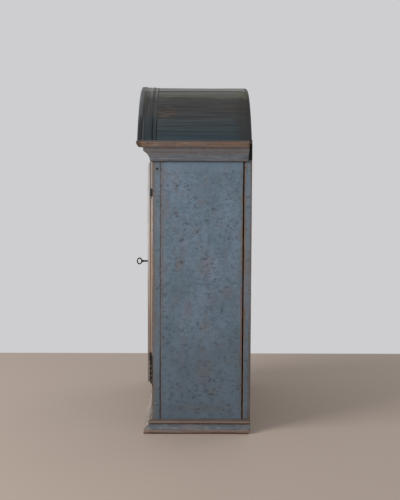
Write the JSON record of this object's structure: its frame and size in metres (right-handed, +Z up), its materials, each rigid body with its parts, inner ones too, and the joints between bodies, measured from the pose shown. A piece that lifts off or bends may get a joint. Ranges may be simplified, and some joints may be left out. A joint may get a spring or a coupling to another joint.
{
  "type": "wall cabinet",
  "caption": "Antique painted wall cabinet with an arched boarded hood, a lipped panel door with lock and key on iron pintle hinges, shelves, and a drawer with a ring pull.",
  "frame": {"origin": "middle of the cabinet's underside, centred on the case's width and depth", "axes": "+X to the right as seen from the front, -Y towards the front, +Z up"},
  "size_m": [0.649, 0.375, 1.059],
  "materials": {
    "blue_paint": "worn blue-grey milk paint over pine, chipped and rubbed through at the edges",
    "hood_paint": "dark teal-brown paint, dusty and streaked on top",
    "bare_wood": "unpainted aged pine",
    "iron": "hand-forged iron, blackened and rusty"
  },
  "bodies": {
    "case": {"side_left": "blue_paint", "side_right": "blue_paint", "stile_left": "blue_paint", "stile_right": "blue_paint", "rail_top": "blue_paint", "rail_middle": "blue_paint", "rail_bottom": "blue_paint", "cornice_front": "blue_paint", "cornice_left": "blue_paint", "cornice_right": "blue_paint", "base_front": "blue_paint", "base_left": "blue_paint", "base_right": "blue_paint", "tympanum": "blue_paint", "arch_moulding": "hood_paint", "back_arch": "hood_paint", "roof_board_1": "hood_paint", "roof_board_2": "hood_paint", "roof_board_3": "hood_paint", "roof_board_4": "hood_paint", "roof_board_5": "hood_paint", "bottom_board": "bare_wood", "floor_board": "bare_wood", "shelf_lower": "bare_wood", "shelf_upper": "bare_wood", "top_board": "bare_wood", "runner_left": "bare_wood", "runner_right": "bare_wood", "back_board_1": "bare_wood", "back_board_2": "bare_wood", "back_board_3": "bare_wood", "back_board_4": "bare_wood", "hanging_iron_left": "iron", "hanging_iron_right": "iron", "pintle_upper": "iron", "pintle_lower": "iron", "stile_nails": "iron"},
    "door": {"door_stile_hinge": "blue_paint", "door_stile_lock": "blue_paint", "door_rail_top": "blue_paint", "door_rail_bottom": "blue_paint", "door_panel": "blue_paint", "knuckle_upper": "iron", "knuckle_lower": "iron", "escutcheon": "iron", "lock_case": "iron", "lock_cover": "iron"},
    "key": {"key": "iron"},
    "bolt": {"lock_bolt": "iron"},
    "drawer": {"drawer_front": "blue_paint", "drawer_side_left": "bare_wood", "drawer_side_right": "bare_wood", "drawer_back": "bare_wood", "drawer_bottom": "bare_wood", "ring_eye": "iron"},
    "ring": {"drawer_ring": "iron"}
  },
  "joints": [
    {"name": "door_swing", "type": "hinge", "parent": "case", "child": "door", "pos_m": [0.237, -0.156, 0.482], "axis": [0, 0, 1], "range_deg": [0, 120]},
    {"name": "key_turn", "type": "hinge", "parent": "door", "child": "key", "pos_m": [-0.195, -0.1655, 0.455], "axis": [0, -1, 0], "range_deg": [0, 360]},
    {"name": "bolt_slide", "type": "slide", "parent": "door", "child": "bolt", "axis": [-1, 0, 0], "range_m": [0, 0.011]},
    {"name": "drawer_slide", "type": "slide", "parent": "case", "child": "drawer", "axis": [0, -1, 0], "range_m": [0, 0.18]},
    {"name": "ring_swing", "type": "hinge", "parent": "drawer", "child": "ring", "pos_m": [0, -0.165, 0.112], "axis": [-1, 0, 0], "range_deg": [-14, 90]}
  ],
  "couplings": [
    {"joint": "key_turn", "follows": "bolt_slide", "rad_per_m": 571}
  ]
}
